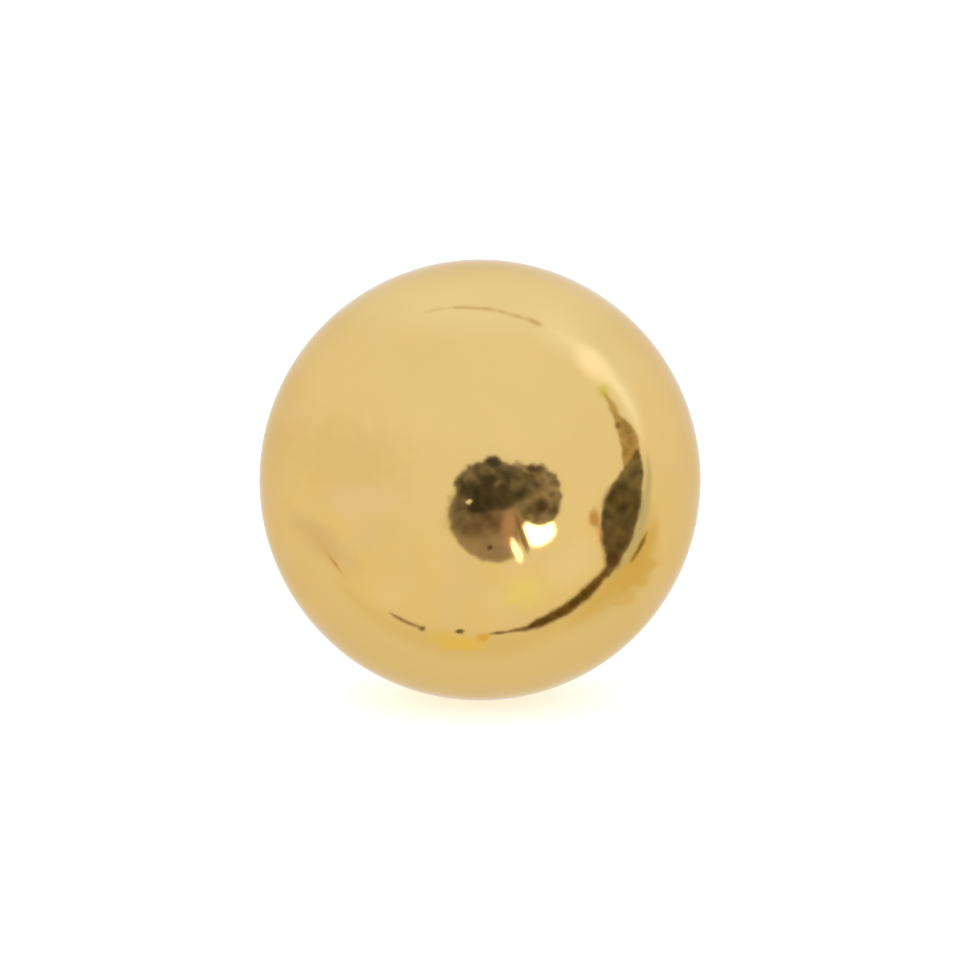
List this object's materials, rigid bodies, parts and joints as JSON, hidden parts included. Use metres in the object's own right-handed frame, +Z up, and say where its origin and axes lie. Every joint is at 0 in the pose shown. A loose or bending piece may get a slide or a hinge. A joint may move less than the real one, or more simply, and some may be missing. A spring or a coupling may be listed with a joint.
{
  "type": "ball stud earring",
  "caption": "Polished hollow gold ball stud earring with a straight ear post and a butterfly friction back pushed on behind the ear lobe's place.",
  "frame": {"origin": "on the surface that the stud lies on, under the middle of its box", "axes": "+Z up, the ball towards -Y, the post running towards +Y and down to the rear at 9.9 degrees, X across; the ball's centre is at (0, -5.40, 4.00) mm"},
  "size_m": [0.008, 0.0188, 0.008],
  "materials": {
    "polished_gold": "mirror-polished yellow gold",
    "stamped_gold": "stamped and tumbled yellow gold sheet"
  },
  "bodies": {
    "root": {"ball_with_post": "polished_gold", "butterfly_back": "stamped_gold"}
  },
  "joints": []
}
